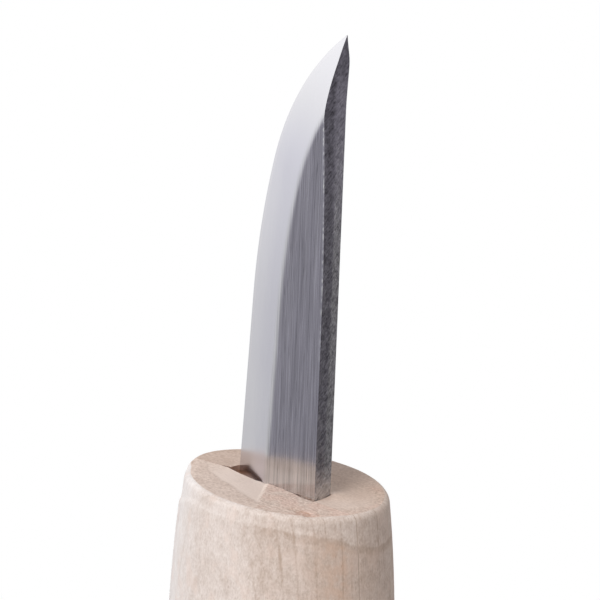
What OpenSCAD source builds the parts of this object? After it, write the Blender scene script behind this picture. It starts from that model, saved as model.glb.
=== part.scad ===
// Wood carving knife: a short blade with a sweeping edge, whose hidden tang is glued into a slot
// between the two wooden halves of an oval handle.
// Origin: centre of the flat butt face. +Z runs to the tip, +X to the spine, +Y to the back half.
// Sizes are in millimetres, angles in degrees.

/* [Handle] */
// Length of the handle from the butt face to the front end
handle_len = 112; // [100:1:125]
// Width of the handle at its belly, from the edge side to the spine side
belly_w = 32; // [29:0.5:35]
// Width of the handle at its front end, before the rim is rounded
front_w = 28.1; // [26:0.1:29]
// Width of the handle at the butt, before the rim is rounded
butt_w = 28; // [25:0.5:29]
// Height of the belly above the butt face
belly_z = 67; // [50:1:75]
// Depth of the oval as a share of its width
depth_share = 0.75; // [0.7:0.01:0.85]
// Radius of the front rim
front_rim_r = 0.5; // [0.3:0.1:2]
// Depth of the shallow hollow in the front end
front_hollow = 0.4; // [0.1:0.1:0.8]
// Width of the level land between the rim and the hollow
front_land = 0.5; // [0.2:0.1:2]
// Radius of the butt rim
butt_rim_r = 3; // [1:0.5:4]

/* [Blade] */
// Length of the blade from the handle to the tip
blade_len = 55.3; // [50:0.1:62]
// Width of the blade where it leaves the handle
blade_w = 15.2; // [13:0.1:17]
// Thickness of the steel
spine_t = 2.5; // [2:0.1:3]
// Distance of the spine from the handle's axis where it leaves the handle
spine_x = 6.8; // [5:0.1:8]
// Height of the low ridge along the middle of the spine above its corners, at the handle
spine_crown = 0.2; // [0.05:0.05:0.5]
// Height of the same ridge above the back corner at the tip
tip_crown = 0.75; // [0.3:0.05:1]
// Rise of the tip above the foot of the spine's ridge
tip_rise = 0.7; // [0:0.1:1.5]
// Height above the handle where the front corner of the spine starts to be rubbed away
wear_start = 24; // [18:1:32]
// Depth at the tip to which the front corner is rubbed away
wear_depth = 1.75; // [0:0.05:2]
// Width of each bevel, square to the edge
bevel_w = 6.4; // [4:0.1:8]
// Lean of the straight part of the edge towards the spine
edge_lean = 3.7; // [2:0.1:5]
// Height of the straight part of the edge above the handle
straight_run = 21.6; // [16:0.1:26]
// Radius of the slow sweep that follows the straight part
sweep_r = 83; // [65:1:110]
// Angle through which the slow sweep turns, before the quicker sweep that ends at the tip
sweep_angle = 12; // [6:0.5:15]

/* [Tang] */
// Depth to which the full width of the blade is let into the handle
heel_depth = 3; // [2:0.5:6]
// Length of the tang inside the handle
tang_len = 60; // [45:1:75]
// Width of the tang at the heel
tang_w = 10; // [8:0.5:12]
// Width of the tang at its round end
tang_end_w = 7; // [4:0.5:8]

/* [Glue joints] */
// Gap between each face of the tang and the wood
slot_gap = 0.15; // [0.1:0.05:0.3]
// Gap round the outline of the heel and the tang
outline_gap = 0.3; // [0.2:0.1:0.8]
// Thickness of the glue film between the halves of the handle
seam_t = 0.1; // [0.05:0.05:0.2]
// Depth of the epoxy below the front end of the handle
epoxy_drop = 1; // [0.8:0.1:2.5]

/* [Hidden] */
$fn = 96;

// Facets: along each half of the oval, along the barrel, round each rim, across the hollow of the
// front end, along the two sweeps of the edge, and along the rubbed corner of the spine
oval_steps = 36;
barrel_steps = 22;
rim_steps = 5;
hollow_steps = 6;
sweep_steps = 16;
tip_steps = 40;
wear_steps = 12;

// Exponents of the barrel's fall from the belly to the front end and to the butt, and of the wear
front_fall = 3.3;
butt_fall = 2.2;
wear_exponent = 1.7;

// Faces of the wood along the joint: the front half is flat, the back half holds the slot
front_face_y = -spine_t/2 - slot_gap;
back_face_y = front_face_y + seam_t;
slot_floor_y = spine_t/2 + slot_gap;

// Foot of the edge at the front end of the handle, and its line at the bottom of the heel
edge_x = spine_x - blade_w;
heel_edge_x = edge_x - heel_depth*tan(edge_lean);
tang_x = spine_x - blade_w/2;

// Length by which cutting shapes pass the faces that they cut
past = 1;

// The edge is a straight run and two arcs, each tangent to the one before.
// Points of the edge are [x, height above the handle]; inward() is square to the edge, into the blade.
function inward(lean) = [cos(lean), -sin(lean)];
straight_end = [edge_x + straight_run*tan(edge_lean), straight_run];
sweep_centre = straight_end + sweep_r*inward(edge_lean);
sweep_lean = edge_lean + sweep_angle;
sweep_end = sweep_centre - sweep_r*inward(sweep_lean);
tip = [spine_x + tip_rise, blade_len];
to_tip = tip - sweep_end;
tip_r = to_tip*to_tip/(2*(to_tip*inward(sweep_lean)));
tip_centre = sweep_end + tip_r*inward(sweep_lean);
tip_lean = atan2(tip[1] - tip_centre[1], tip_centre[0] - tip[0]);

// Stations along the edge, each [x, height, lean], from below the heel to past the tip
past_tip_angle = 4;
function arc_station(centre, r, lean) = concat(centre - r*inward(lean), [lean]);
edge_stations = concat(
    [[edge_x - 2*heel_depth*tan(edge_lean), -2*heel_depth, edge_lean]],
    [for (i = [0:sweep_steps - 1])
        arc_station(sweep_centre, sweep_r, edge_lean + i*sweep_angle/sweep_steps)],
    [for (i = [0:tip_steps])
        arc_station(tip_centre, tip_r, sweep_lean + i*(tip_lean + past_tip_angle - sweep_lean)/tip_steps)]
);

// The grind's wedge is sharp at the edge and reaches past the spine, where it is thicker than the steel
grind_depth = blade_w + 2*past;
grind_half_t = grind_depth*spine_t/2/bevel_w;
function wedge_ring(station) =
    let (e = [station[0], station[1]], back = e + grind_depth*inward(station[2]))
    [[e[0], 0, e[1]], [back[0], -grind_half_t, back[1]], [back[0], grind_half_t, back[1]]];

// The spine's ridge at a height above the handle, and the drop from it to each corner
function along(height) = height/blade_len;
function ridge_x(height) = spine_x + tip_rise*along(height);
function back_drop(height) = spine_crown + (tip_crown - spine_crown)*along(height);
function front_drop(height) =
    let (worn = max(0, height - wear_start)/(blade_len - wear_start))
    back_drop(height) + wear_depth*pow(worn, wear_exponent);

// Room for all the steel below the two slopes of the spine, which run on past its faces
crown_depth = blade_w + past;
function crown_ring(height) = [
    [-crown_depth, -spine_t, height],
    [ridge_x(height) - 2*front_drop(height), -spine_t, height],
    [ridge_x(height), 0, height],
    [ridge_x(height) - 2*back_drop(height), spine_t, height],
    [-crown_depth, spine_t, height]
];

// Half width of the barrel at a height
function barrel_half_w(z) =
    z > belly_z
        ? belly_w/2 - (belly_w - front_w)/2*pow((z - belly_z)/(handle_len - belly_z), front_fall)
        : belly_w/2 - (belly_w - butt_w)/2*pow((belly_z - z)/belly_z, butt_fall);

// An oval of the handle: [height, half width, half depth], drawn in by the rounding of a rim
function oval(z, inset) =
    [z, barrel_half_w(z) - inset, barrel_half_w(z)*depth_share - inset];
function butt_oval(a) = oval(butt_rim_r*(1 - sin(a)), butt_rim_r*(1 - cos(a)));
function front_oval(a) = oval(handle_len - front_rim_r*(1 - sin(a)), front_rim_r*(1 - cos(a)));
barrel_low = butt_rim_r;
barrel_high = handle_len - front_rim_r;
ovals = concat(
    [for (i = [0:rim_steps - 1]) butt_oval(90*(1 - i/rim_steps))],
    [for (i = [0:barrel_steps]) oval(barrel_low + i*(barrel_high - barrel_low)/barrel_steps, 0)],
    [for (i = [1:rim_steps]) front_oval(90*i/rim_steps)]
);

// The part of an oval behind a face of the joint, and the part before it, both counterclockwise
function ring_behind(o, y) =
    let (a = asin(y/o[2]))
    [for (i = [0:oval_steps])
        let (t = a + i*(180 - 2*a)/oval_steps)
        [o[1]*cos(t), o[2]*sin(t), o[0]]];
function ring_before(o, y) =
    let (a = asin(y/o[2]))
    [for (i = [0:oval_steps])
        let (t = 180 - a + i*(180 + 2*a)/oval_steps)
        [o[1]*cos(t), o[2]*sin(t), o[0]]];

// The strip of an oval between the two faces of the joint
function half_chord(o, y) = o[1]*cos(asin(y/o[2]));
function ring_between(o, y0, y1) = [
    [-half_chord(o, y0), y0, o[0]],
    [half_chord(o, y0), y0, o[0]],
    [half_chord(o, y1), y1, o[0]],
    [-half_chord(o, y1), y1, o[0]]
];

// The hollow of the front end: ovals that shrink and sink towards the middle of the end face
function whole_ring(o) =
    [for (i = [0:2*oval_steps - 1])
        let (t = 180*i/oval_steps)
        [o[1]*cos(t), o[2]*sin(t), o[0]]];
function hollow_oval(share) =
    let (face = front_oval(90))
    [
        handle_len - front_hollow*(1 - share*share),
        share*(face[1] - front_land),
        share*(face[2] - front_land)
    ];
hollow_mouth = [handle_len + past, hollow_oval(1)[1], hollow_oval(1)[2]];

// A closed skin over a stack of rings, all with the same number of points
module loft(rings) {
    n = len(rings[0]);
    last = len(rings) - 1;
    polyhedron(
        points = [for (ring = rings) each ring],
        faces = concat(
            [[for (i = [0:n - 1]) i]],
            [for (k = [0:last - 1], i = [0:n - 1])
                let (j = (i + 1) % n)
                each [[k*n + i, (k + 1)*n + i, (k + 1)*n + j], [k*n + i, (k + 1)*n + j, k*n + j]]],
            [[for (i = [n - 1:-1:0]) last*n + i]]
        )
    );
}

module front_end_hollow()
    loft(concat(
        [for (i = [1:hollow_steps]) whole_ring(hollow_oval(i/hollow_steps))],
        [whole_ring(hollow_mouth)]
    ));

// Stands a flat shape, drawn as [x, height], upright between two depths
module upright(y0, y1)
    translate([0, y1, 0])
        rotate([90, 0, 0])
            linear_extrude(y1 - y0)
                children();

// What the grinding leaves: a wedge along the whole edge, with both bevels at one angle
module grind()
    loft([for (station = edge_stations) wedge_ring(station)]);

// The steel above the tang before grinding, with more than enough for the edge and the spine
module blade_blank()
    upright(-spine_t/2, spine_t/2)
        translate([heel_edge_x - past, -heel_depth])
            square([ridge_x(blade_len) - heel_edge_x + 2*past, heel_depth + blade_len + past]);

// The tang is left at full thickness
module tang()
    upright(-spine_t/2, spine_t/2)
        tang_outline(0);

// The spine: a low ridge along its middle, and a front corner that is rubbed away towards the tip
module below_crown()
    loft(concat(
        [crown_ring(-heel_depth - past)],
        [for (i = [0:wear_steps])
            crown_ring(wear_start + i*(blade_len + past - wear_start)/wear_steps)]
    ));

// Outline of the tang, or of the channel that clears it all round
module tang_outline(gap) {
    end_r = tang_end_w/2 + gap;
    end_z = tang_end_w/2 - tang_len;
    polygon([
        [tang_x - tang_w/2 - gap, -heel_depth],
        [tang_x - end_r, end_z],
        [tang_x + end_r, end_z],
        [tang_x + tang_w/2 + gap, -heel_depth]
    ]);
    translate([tang_x, end_z])
        circle(end_r);
}

// The slot in the wood: a pocket for the heel and a channel for the tang
module slot(top, y0)
    upright(y0, slot_floor_y) {
        translate([heel_edge_x - outline_gap, -heel_depth - outline_gap])
            square([spine_x - heel_edge_x + 2*outline_gap, heel_depth + outline_gap + top]);
        tang_outline(outline_gap);
    }

module blade_in_place()
    translate([0, 0, handle_len]) {
        intersection() {
            blade_blank();
            below_crown();
            grind();
        }
        tang();
    }

module slot_in_place(top, y0)
    translate([0, 0, handle_len])
        slot(top, y0);

module blade()
    color([0.62, 0.62, 0.65])
        blade_in_place();

module handle_front_half()
    color([0.87, 0.79, 0.72])
        difference() {
            loft([for (o = ovals) ring_before(o, front_face_y)]);
            front_end_hollow();
        }

module handle_back_half()
    color([0.84, 0.76, 0.69])
        difference() {
            loft([for (o = ovals) ring_behind(o, back_face_y)]);
            front_end_hollow();
            slot_in_place(past, front_face_y - past);
        }

module tang_epoxy()
    color([0.42, 0.30, 0.22])
        difference() {
            slot_in_place(-epoxy_drop, front_face_y);
            blade_in_place();
        }

module seam_glue()
    color([0.55, 0.43, 0.34])
        difference() {
            loft([for (o = ovals) ring_between(o, front_face_y, back_face_y)]);
            front_end_hollow();
            slot_in_place(past, front_face_y - past);
        }

blade();
handle_front_half();
handle_back_half();
tang_epoxy();
seam_glue();
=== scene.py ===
"""Looks of the wood carving knife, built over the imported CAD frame.

Lengths are in millimetres until an object is made. A pair of numbers named OVER, FROM, TO, SHUT or FREE is
a stretch over which a form comes in or goes out.
"""
import math

import bmesh
import bpy
import numpy as np
from mathutils import Matrix, Vector, noise


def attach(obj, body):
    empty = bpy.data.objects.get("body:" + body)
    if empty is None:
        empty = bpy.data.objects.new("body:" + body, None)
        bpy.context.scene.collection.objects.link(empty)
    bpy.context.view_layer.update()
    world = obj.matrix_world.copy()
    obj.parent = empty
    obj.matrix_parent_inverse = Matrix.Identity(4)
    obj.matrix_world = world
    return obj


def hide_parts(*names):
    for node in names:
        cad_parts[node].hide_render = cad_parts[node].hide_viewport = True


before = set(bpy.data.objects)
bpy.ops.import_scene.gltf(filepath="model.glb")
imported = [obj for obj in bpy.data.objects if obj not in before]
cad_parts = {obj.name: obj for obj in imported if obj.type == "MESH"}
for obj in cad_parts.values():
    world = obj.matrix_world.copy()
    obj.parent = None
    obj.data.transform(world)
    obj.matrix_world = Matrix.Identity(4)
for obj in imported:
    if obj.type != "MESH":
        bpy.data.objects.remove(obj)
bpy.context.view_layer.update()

MM = 0.001

# Camera: azimuth, elevation and roll in degrees, distance, aim point, focal length and width of its frame
VIEW_AZIMUTH = 48.0
VIEW_ELEVATION = 15.71
VIEW_ROLL = 2.14
VIEW_DISTANCE = 400.0
AIM_RIGHT = 0.89
AIM_HEIGHT = 134.46
LENS = 205.36
SENSOR_W = 36.0
NEAREST_SEEN = 10.0

# Light of the room: what steel mirrors in front of the knife, and the soft light on the wood from all round
DIM_ROOM = 0.2
DIM_TINT = (1.0, 0.95, 1.18)
SOFT_LIGHT = 0.36
SOFT_TINT = (0.995, 0.923, 0.89)
WHITE = (1.0, 1.0, 1.0)

# Lamps: their distance from the point of the knife's axis that they face, and its height
LAMP_DISTANCE = 900.0
LAMP_AIM = 120.0

# Floor: its radius, how far it lies below the butt, and where the shadow goes over into white
FLOOR_R = 300.0
FLOOR_DROP = 0.2
SHADOW_FADE = (60.0, 260.0)

# Barrel of the handle: its lengths, its depth as a share of its width, the exponents of its fall from the
# belly to each end, and the radius of the butt's rim
HANDLE_LEN = 112.0
BELLY_W = 31.98
FRONT_W = 28.1
BUTT_W = 28.0
BELLY_Z = 67.0
DEPTH_SHARE = 0.75
FRONT_FALL = 3.5
BUTT_FALL = 2.2
BUTT_RIM_R = 3.0

# Front rim: its radius behind, how much more it is where the rim is worn, the turn of its arc, and the
# degrees round the oval where the wear comes in on the left and goes out on the right
RIM_R = 0.15
RIM_WEAR = 0.62
RIM_TURN = math.radians(80)
RIM_WORN_FROM = (203, 214)
RIM_WORN_TO = (85, 25)

# Light band under the front rim: how deep it is cut, the height of that step, and its lower edge, as degrees
# round the oval and depth below the rim
BAND_CUT = 0.2
BAND_STEP = 0.6
BAND_LINE = (
    (-180, 4.0), (-140, 4.0), (-115, 2.2), (-60, 1.65), (-45, 2.0), (-30, 2.1),
    (-20, 2.4), (-12, 3.3), (0, 3.8), (10, 4.1), (40, 3.8), (180, 4.0),
)

# Joint between the halves: the faces of the wood, and the seam, which turns to the front left of the slot
FRONT_FACE_Y = -1.4
BACK_FACE_Y = -1.3
SEAM_TURN_X = -8.89
SEAM_SLANT = 0.45
SEAM_CURVE = 0.85

# Glue film: how far it lies under the wood, deeper on the end left of the slot, and how its ribbons reach
# inwards, by a share of the way to the slot and to a margin from each end
SEAM_SUNK = 0.012
OPEN_SEAM_SUNK = 0.06
SEAM_INSET = 0.07
SEAM_MARGIN = 6.0

# Front end of the handle: a shallow dish, a drop of its back rim, and a fall to the front left
DISH = 0.4
BACK_DROP = 0.18
BACK_DROP_OVER = (-1.0, 5.0)
FALL = 0.25
FALL_WAY = (-0.693, -0.721)
FALL_OVER = (10.6, 12.35)

# Facet pared before the blade: the ridge that ends it on the right, its low line and its depth
PARED_RIDGE = ((-1.6, -1.4), (3.2, -7.0))
PARED_LOW_LINE = (
    (-11.2, -2.6), (-10.0, -3.6), (-8.3, -4.6), (-5.5, -5.2),
    (-3.5, -5.4), (-1.1, -6.2), (3.2, -7.2), (14.0, -9.7),
)
PARED_FROM = (-11.5, -7.0)
PARED_DEPTH = 0.22

# Torn end grain, the chip at the rim, the hump at the spine's back corner, and smoother wood behind the spine
ROUGH_DEPTH = 0.05
CHIP_AT = (9.7, -5.4)
CHIP_SIZE = (2.4, 1.1)
CHIP_DEPTH = 0.14
HUMP_AT = (6.9, 1.9)
HUMP_H = 0.36
HUMP_R = 1.5
SMOOTH_AT = (7.0, 1.8)
SMOOTH_TO = (3.6, 5.6)
SMOOTH_PATCH_AT = (7.4, 5.2, HANDLE_LEN)

# Lip of the front half: its gap to the steel, x where it is shut and where it is free, the crack at the
# spine, and the ledge under it, which closes the crack
LIP_GAP = 0.02
LIP_SHUT = (-3.9, -2.5)
LIP_FREE = (4.5, 2.2)
CRACK_W = 0.19
CRACK_FROM = (2.2, 5.6)
CRACK_TO = (7.3, 6.4)
LEDGE_DEPTH = 0.14
LEDGE_FROM = (1.5, 2.5)
LEDGE_TO = (7.3, 6.6)

# Growth layers of the wood, square to y: their thickness, y of one dark late line, and the layers before it
LAYER_T = 2.63
LATE_LINE_Y = -8.6
LAYERS_BEFORE = 10.5

# Slot in the back half: its mouth and how far columns fan out beside it, its pocket for the heel, and the
# gap round the tang
SLOT_FLOOR_Y = 1.4
MOUTH_LEFT_X = -8.55
MOUTH_RIGHT_X = 6.66
MOUTH_FAN = 2.0
MOUTH_DEPTH = 1.7
POCKET_LEFT_X = -8.89
POCKET_RIGHT_X = 7.1
POCKET_Z = HANDLE_LEN - 3.3
OUTLINE_GAP = 0.3

# Blade: the steel's thickness, and its edge, a straight run and two arcs, the second one to TIP_FIT, which
# is x and height above the handle
STEEL_T = 2.5
EDGE_X = -8.35
EDGE_LEAN = math.radians(3.7)
STRAIGHT_RUN = 21.6
SWEEP_R = 83.0
SWEEP_TURN = math.radians(12.15)
TIP_FIT = (7.66, 55.3)

# The tip leans to the back. The edge moves along the camera's line of sight there, given as x and height for
# each millimetre of y, so that its outline stays
TIP_LEAN_Y = 0.91
TIP_LEAN_FROM = 40.0
SIGHT_SLOPE = (-1.089, -0.289)

# Bevels: their width, which gets less towards the tip, more so on the back, and the rounding of the shoulder
BEVEL_W = 6.0
BEVEL_LESS = 0.22
BEVEL_LESS_OVER = (15.0, 45.0)
BACK_NARROWING = 3.6
BACK_NARROWING_OVER = (TIP_LEAN_FROM, 52.0)
SHOULDER_R = 0.11

# Spine: its place, slope, rise at the tip and crown, the least share of it on each side of its ridge, the
# wear of its front corner, as height and depth, and the slant of its scores
SPINE_FOOT_X = 6.54
SPINE_SLOPE = 0.0008
SPINE_RISE = 0.3
SPINE_RISE_OVER = (46.0, 53.0)
SPINE_CROWN = 0.14
RIDGE_MARGIN = 0.3
WEAR_FROM_H = 24.0
WEAR_AT = (46.6, 0.99)
WEAR_POWER = 1.7
SCORE_SLANT = math.radians(37)

# Burr along the spine's front corner: the close columns that carry it, its width and height, and its ends
CLOSE_W = 0.36
BURR_W = 0.2
BURR_H = 0.024
BURR_FROM = (12.0, 26.0)
BURR_TO = (47.0, 44.5)

# Heel and tang in the handle
HEEL_DEPTH = 3.0
TANG_LEN = 60.0
TANG_X = -0.8
TANG_W = 10.0
TANG_END_W = 7.0

# Meshes: the distance at which points merge, degrees from which edges are sharp, and points each way. The
# blade's rows get closer at two heights, and end a little below the tip
MERGE = 0.0004
STEEL_SHARP = 30
WOOD_SHARP = 38
EDGE_POINTS = (160, 140, 900)
BLADE_ROWS = (110, 220, 60)
CLOSER_ROWS_AT = (20.0, 50.0)
TIP_MARGIN = 0.2
SIDE_COLUMNS = 60
CLOSE_COLUMNS = 4
SPINE_COLUMNS = 7
RIM_ROWS = 9
BARREL_ROWS = 40
BARREL_CLOSE_FROM = 0.9
END_ROWS = 61
FRONT_COLUMNS = 481
JOINT_COLUMNS = 81
MOUTH_COLUMNS = 221
MOUTH_SIDE_COLUMNS = 15


def smoothstep(low, high, value):
    """0 at low, 1 at high, and a smooth way between them. low may be the greater one."""
    t = np.clip((value - low) / (high - low), 0.0, 1.0)
    return t * t * (3.0 - 2.0 * t)


def noise_at(x, y, z, scale):
    """Smooth noise from about -1 to 1 at points in millimetres, scale being periods per millimetre."""
    x, y, z = np.broadcast_arrays(x, y, z)
    points = np.stack([x, y, z], -1).reshape(-1, 3) * scale
    return np.array([noise.noise(p) for p in points.tolist()]).reshape(x.shape)


# Meshes

def add_object(name, data):
    """A new object in the scene."""
    obj = bpy.data.objects.new(name, data)
    bpy.context.scene.collection.objects.link(obj)
    return obj


class Skin:
    """Gathers grids and faces with a material number each, then makes one object of them."""

    def __init__(self):
        self.points = []
        self.faces = []
        self.kinds = []
        self.count = 0

    def add_points(self, points):
        """Gathers points and gives the number of the first one."""
        points = np.asarray(points, float).reshape(-1, 3)
        first = self.count
        self.points.append(points)
        self.count += len(points)
        return first

    def grid(self, rows, kind, closed=False):
        """rows: array of rows x columns x 3. kind: one number, or one for each column of faces."""
        rows = np.asarray(rows, float)
        nr, nc = rows.shape[:2]
        first = self.add_points(rows)
        for r in range(nr - 1):
            for c in range(nc if closed else nc - 1):
                d = (c + 1) % nc
                low, high = first + r * nc, first + (r + 1) * nc
                self.faces.append([low + c, low + d, high + d, high + c])
                self.kinds.append(kind if np.isscalar(kind) else kind[c])

    def polygon(self, points, kind):
        """One face through all the points."""
        first = self.add_points(points)
        self.faces.append(list(range(first, self.count)))
        self.kinds.append(kind)

    def make(self, name, materials, sharp_angle, crisp=False):
        """One object of what was gathered. crisp: edges between two materials are sharp too."""
        mesh = bpy.data.meshes.new(name)
        mesh.from_pydata((np.concatenate(self.points) * MM).tolist(), [], self.faces)
        for material in materials:
            mesh.materials.append(material)
        mesh.polygons.foreach_set("material_index", self.kinds)
        mesh.polygons.foreach_set("use_smooth", [True] * len(mesh.polygons))
        bm = bmesh.new()
        bm.from_mesh(mesh)
        bmesh.ops.remove_doubles(bm, verts=bm.verts, dist=MERGE * MM)
        bmesh.ops.dissolve_degenerate(bm, edges=bm.edges, dist=MERGE * MM)
        bmesh.ops.recalc_face_normals(bm, faces=bm.faces)
        many_sided = [face for face in bm.faces if len(face.verts) > 4]
        bmesh.ops.triangulate(bm, faces=many_sided, ngon_method="BEAUTY")
        bm.to_mesh(mesh)
        bm.free()
        mesh.set_sharp_from_angle(angle=math.radians(sharp_angle))
        if crisp:
            sharpen_borders(mesh)
        return add_object(name, mesh)


def sharpen_borders(mesh):
    """Marks as sharp the edges where two materials meet."""
    bm = bmesh.new()
    bm.from_mesh(mesh)
    for edge in bm.edges:
        if len({face.material_index for face in edge.link_faces}) > 1:
            edge.smooth = False
    bm.to_mesh(mesh)
    bm.free()


def points_of(mesh):
    """The mesh's points in millimetres, as x, y, z."""
    flat = np.empty(3 * len(mesh.vertices))
    mesh.vertices.foreach_get("co", flat)
    return flat.reshape(-1, 3).T / MM


def store(mesh, name, values):
    """Keeps a number for each point, for the materials to read."""
    mesh.attributes.new(name, "FLOAT", "POINT").data.foreach_set("value", np.asarray(values, float))


def dress(obj, node):
    """Lets a piece stand for a node of the frame: hangs it under the root and hides the node."""
    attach(obj, "root")
    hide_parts(node)


# Blade

def edge_curve():
    """Points of the cutting edge: x, y and height, and the x and height of the direction into the blade."""
    def inward(lean):
        return np.array([math.cos(lean), -math.sin(lean)])

    def straight_x(h):
        return EDGE_X + h * math.tan(EDGE_LEAN)

    straight_end = np.array([straight_x(STRAIGHT_RUN), STRAIGHT_RUN])
    sweep_centre = straight_end + SWEEP_R * inward(EDGE_LEAN)
    sweep_lean = EDGE_LEAN + SWEEP_TURN
    sweep_end = sweep_centre - SWEEP_R * inward(sweep_lean)
    to_tip = np.array(TIP_FIT) - sweep_end
    tip_r = to_tip @ to_tip / (2 * (to_tip @ inward(sweep_lean)))
    tip_centre = sweep_end + tip_r * inward(sweep_lean)
    tip_lean = math.atan2(TIP_FIT[1] - tip_centre[1], tip_centre[0] - TIP_FIT[0])
    run, sweep, curl = EDGE_POINTS
    flat = [(straight_x(h), h) for h in np.linspace(-2 * HEEL_DEPTH, STRAIGHT_RUN, run)[:-1]]
    flat += [sweep_centre - SWEEP_R * inward(a) for a in np.linspace(EDGE_LEAN, sweep_lean, sweep)[:-1]]
    flat += [tip_centre - tip_r * inward(a) for a in np.linspace(sweep_lean, tip_lean, curl)]
    x, h = np.array(flat).T
    y = TIP_LEAN_Y * np.clip((h - TIP_LEAN_FROM) / (TIP_FIT[1] - TIP_LEAN_FROM), 0, None) ** 2
    x, h = x + SIGHT_SLOPE[0] * y, h + SIGHT_SLOPE[1] * y
    step_x, step_h = np.gradient(x), np.gradient(h)
    length = np.hypot(step_x, step_h)
    return x, y, h, step_h / length, -step_x / length


EDGE = edge_curve()
HALF_T = STEEL_T / 2


def spine_x(y, h):
    """The spine's surface: crowned, with its front corner rubbed away towards the tip."""
    back = SPINE_FOOT_X + SPINE_SLOPE * h + SPINE_RISE * smoothstep(*SPINE_RISE_OVER, h)
    along = np.clip(h - WEAR_FROM_H, 0, None) / (WEAR_AT[0] - WEAR_FROM_H)
    worn = WEAR_AT[1] * along ** WEAR_POWER
    return back - worn * (HALF_T - y) / STEEL_T + SPINE_CROWN * (1 - abs(y) / HALF_T)


def edge_distance(x, h):
    """Distance of points from the edge in the plane of the blade, and the edge's y at their feet."""
    x, h = np.broadcast_arrays(x, h)
    shape, x, h = x.shape, x.ravel(), h.ravel()
    ex, ey, eh, into_x, into_h = EDGE
    near = np.concatenate([
        ((ex[:, None] - px) ** 2 + (eh[:, None] - ph) ** 2).argmin(0)
        for px, ph in zip(np.array_split(x, 64), np.array_split(h, 64))
    ])
    away = (x - ex[near]) * into_x[near] + (h - eh[near]) * into_h[near]
    return np.clip(away, 0, None).reshape(shape), ey[near].reshape(shape)


def soft_least(a, b, width):
    """The lesser of two values, rounded where they differ by less than the width."""
    t = np.clip(0.5 + 0.5 * (b - a) / width, 0.0, 1.0)
    return b + (a - b) * t - width * t * (1 - t)


def bevel_y(x, h, side):
    """y of the steel's front (-1) or back (+1) side: the bevel, a rounded shoulder and the flat."""
    d, foot_y = edge_distance(x, h)
    room = HALF_T - side * foot_y
    if side < 0:
        width = BEVEL_W - BEVEL_LESS * smoothstep(*BEVEL_LESS_OVER, h)
    else:
        width = BEVEL_W - BACK_NARROWING * smoothstep(*BACK_NARROWING_OVER, h)
    return foot_y + side * soft_least(room * d / width, room, SHOULDER_R)


def meet_spine(h, side):
    """Where one side of the steel meets the spine at each height: x, y."""
    low, high = np.full(h.shape, side * HALF_T), np.full(h.shape, -side * HALF_T)
    for _ in range(30):
        mid = (low + high) / 2
        inside = bevel_y(spine_x(mid, h), h, side) * side < mid * side
        low, high = np.where(inside, mid, low), np.where(inside, high, mid)
    return spine_x(mid, h), mid


def side_columns(h, edge, corner, side):
    """One side of the blade at each height, from the edge to the spine, with close columns at the spine."""
    length = corner[0] - edge[0]
    close = np.minimum(CLOSE_W, 0.5 * length)
    share = np.concatenate([np.linspace(0, 1, SIDE_COLUMNS + 1)[:-1], np.ones(CLOSE_COLUMNS)])
    steps = np.concatenate([np.zeros(SIDE_COLUMNS), np.linspace(0, 1, CLOSE_COLUMNS)])
    x = edge[0][:, None] + (length - close)[:, None] * share + close[:, None] * steps
    y = bevel_y(x, h[:, None], side)
    x[:, 0], y[:, 0] = edge
    x[:, -1], y[:, -1] = corner
    return x, y


def raise_burr(x, y, h):
    """The thin ragged burr that stands along the front corner of the spine."""
    ragged = np.clip(0.3 + 0.6 * noise_at(0, 0, h, 0.9) + 1.6 * noise_at(0, 7, h, 2.6), 0, 1.3)
    height = BURR_H * ragged * smoothstep(*BURR_FROM, h) * smoothstep(*BURR_TO, h)
    return y - height[:, None] * smoothstep(BURR_W, 0.0, x[:, -1:] - x)


def build_blade(materials):
    """The blade and its tang. Each row runs from the edge up the front, over the spine and down the back."""
    tip_h = EDGE[2][-1]
    stops = (-HEEL_DEPTH, *CLOSER_ROWS_AT, tip_h - TIP_MARGIN)
    stretches = [np.linspace(*ends) for ends in zip(stops[:-1], stops[1:], BLADE_ROWS)]
    h = np.concatenate([stretches[0][:-1], stretches[1][:-1], stretches[2]])
    edge = np.interp(h, EDGE[2], EDGE[0]), np.interp(h, EDGE[2], EDGE[1])
    front, back = meet_spine(h, -1), meet_spine(h, 1)
    front_x, front_y = side_columns(h, edge, front, -1)
    back_x, back_y = side_columns(h, edge, back, 1)
    front_y = raise_burr(front_x, front_y, h)
    margin = RIDGE_MARGIN * (back[1] - front[1])
    ridge = np.clip(0.0, front[1] + margin, back[1] - margin)
    along = np.linspace(0, 1, SPINE_COLUMNS)
    near_y = front_y[:, -1:] + (ridge - front_y[:, -1])[:, None] * along
    far_y = ridge[:, None] + (back[1] - ridge)[:, None] * along
    spine_y = np.concatenate([near_y[:, 1:], far_y[:, 1:-1]], 1)
    x = np.concatenate([front_x, spine_x(spine_y, h[:, None]), back_x[:, :0:-1]], 1)
    y = np.concatenate([front_y, spine_y, back_y[:, :0:-1]], 1)
    rows = np.stack([x, y, np.broadcast_to(HANDLE_LEN + h[:, None], x.shape)], -1)
    tip = np.broadcast_to((EDGE[0][-1], EDGE[1][-1], HANDLE_LEN + tip_h), (1, *rows.shape[1:]))
    side_faces = front_x.shape[1] - 1
    spine_faces = spine_y.shape[1] + 1
    kinds = [0] * side_faces + [1] * spine_faces + [0] * side_faces
    skin = Skin()
    skin.grid(np.concatenate([rows, tip]), kinds, closed=True)
    skin.polygon(rows[0][::-1], 0)
    add_tang(skin)
    blade = skin.make("blade_steel", materials, STEEL_SHARP, crisp=True)
    px, _, pz = points_of(blade.data)
    store(blade.data, "edge_mm", edge_distance(px, pz - HANDLE_LEN)[0])
    return blade


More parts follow.
